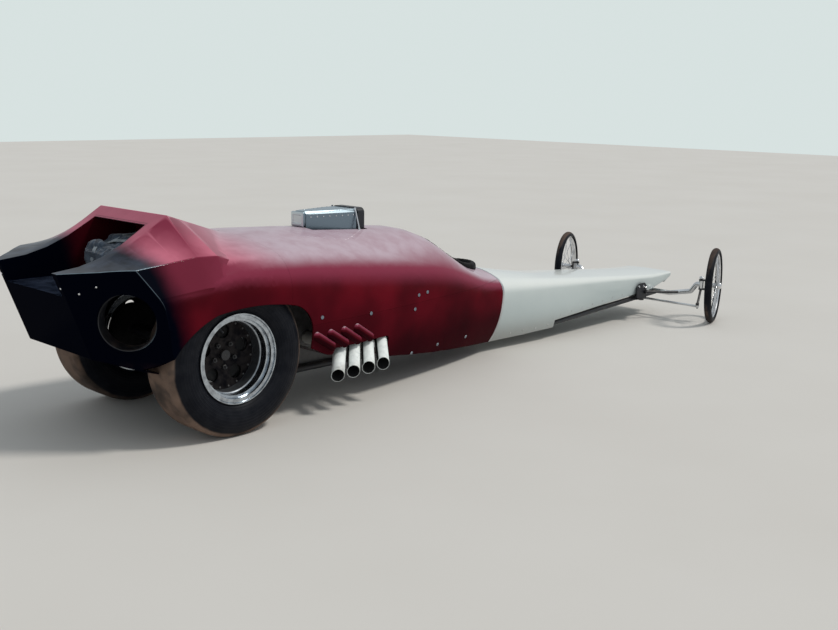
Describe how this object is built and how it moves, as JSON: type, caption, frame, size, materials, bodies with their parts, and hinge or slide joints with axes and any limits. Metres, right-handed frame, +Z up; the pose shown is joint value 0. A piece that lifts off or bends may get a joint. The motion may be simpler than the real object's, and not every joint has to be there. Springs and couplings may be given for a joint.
{
  "type": "streamlined drag racing car",
  "caption": "Low streamlined drag racing car with a mid-mounted engine, finned tail, wide driven rear wheels, long wedge nose and steered wire-spoked front wheels.",
  "frame": {"origin": "on the ground under the middle of the car's box", "axes": "+X towards the nose, +Y to the driver's left, +Z up; the front wheels rest turned to the left"},
  "size_m": [5.4165, 1.5766, 1.085],
  "materials": {
    "paint_red": "gloss candy red, sun-faded",
    "paint_tail": "gloss red fading into black at the tail",
    "paint_white": "gloss white",
    "paint_black": "satin black",
    "frame_black": "satin black",
    "axle_black": "semi-gloss black",
    "cast_grey": "as cast",
    "aluminium_sheet": "brushed",
    "injector_aluminium": "satin",
    "rim_aluminium": "polished lip, dull centre",
    "wire_chrome": "plated",
    "chrome": "plated",
    "exhaust_white": "white header paint, sooted inside",
    "tyre": "worn black rubber",
    "scoop_rubber": "black",
    "coaming_leather": "black, padded",
    "steering_black": "matt",
    "pack_fabric": "dark grey canvas"
  },
  "bodies": {
    "root": {"tail_shell": "paint_tail", "body_upper": "paint_red", "body_lower": "paint_red", "parachute_pocket": "paint_red", "tail_ducts": "paint_black", "parachute_pack": "pack_fabric", "nose_cowl": "paint_white", "frame_rails": "frame_black", "roll_cage": "frame_black", "cockpit_coaming": "coaming_leather", "seat": "aluminium_sheet", "seat_base": "aluminium_sheet", "steering_wheel": "steering_black", "steering_box": "cast_grey", "engine_block": "cast_grey", "motor_plates": "aluminium_sheet", "injector_box": "injector_aluminium", "scoop_mouth": "scoop_rubber", "exhaust_left": "exhaust_white", "exhaust_right": "exhaust_white", "rear_axle": "axle_black", "front_axle": "chrome", "front_brackets": "frame_black"},
    "steer_right": {"knuckle_right": "axle_black"},
    "steer_left": {"knuckle_left": "axle_black"},
    "tie_rod": {"tie_rod": "chrome"},
    "front_wheel_right": {"front_rim_right": "wire_chrome", "front_tyre_right": "tyre"},
    "front_wheel_left": {"front_rim_left": "wire_chrome", "front_tyre_left": "tyre"},
    "rear_wheel_right": {"rear_rim_right": "rim_aluminium", "rear_tyre_right": "tyre"},
    "rear_wheel_left": {"rear_rim_left": "rim_aluminium", "rear_tyre_left": "tyre"}
  },
  "joints": [
    {"name": "steering", "type": "hinge", "parent": "root", "child": "steer_right", "pos_m": [2.40743, -0.583, 0.285], "axis": [0, 0, 1], "range_deg": [-46, 4]},
    {"name": "steering_left", "type": "hinge", "parent": "root", "child": "steer_left", "pos_m": [2.40743, 0.583, 0.285], "axis": [0, 0, 1], "range_deg": [-46, 4]},
    {"name": "tie_rod_pivot", "type": "hinge", "parent": "steer_left", "child": "tie_rod", "pos_m": [2.2954, 0.54, 0.135], "axis": [0, 0, 1], "range_deg": [-4, 46]},
    {"name": "front_wheel_right_spin", "type": "hinge", "parent": "steer_right", "child": "front_wheel_right", "pos_m": [2.4404, -0.66889, 0.285], "axis": [-0.3584, 0.9336, 0], "continuous": true},
    {"name": "front_wheel_left_spin", "type": "hinge", "parent": "steer_left", "child": "front_wheel_left", "pos_m": [2.37446, 0.66889, 0.285], "axis": [-0.3584, 0.9336, 0], "continuous": true},
    {"name": "rear_wheel_right_spin", "type": "hinge", "parent": "root", "child": "rear_wheel_right", "pos_m": [-1.91257, -0.4545, 0.392], "axis": [0, 1, 0], "continuous": true},
    {"name": "rear_wheel_left_spin", "type": "hinge", "parent": "root", "child": "rear_wheel_left", "pos_m": [-1.91257, 0.4545, 0.392], "axis": [0, 1, 0], "continuous": true}
  ],
  "couplings": [
    {"joint": "steering_left", "follows": "steering", "ratio": 1},
    {"joint": "tie_rod_pivot", "follows": "steering", "ratio": -1}
  ]
}
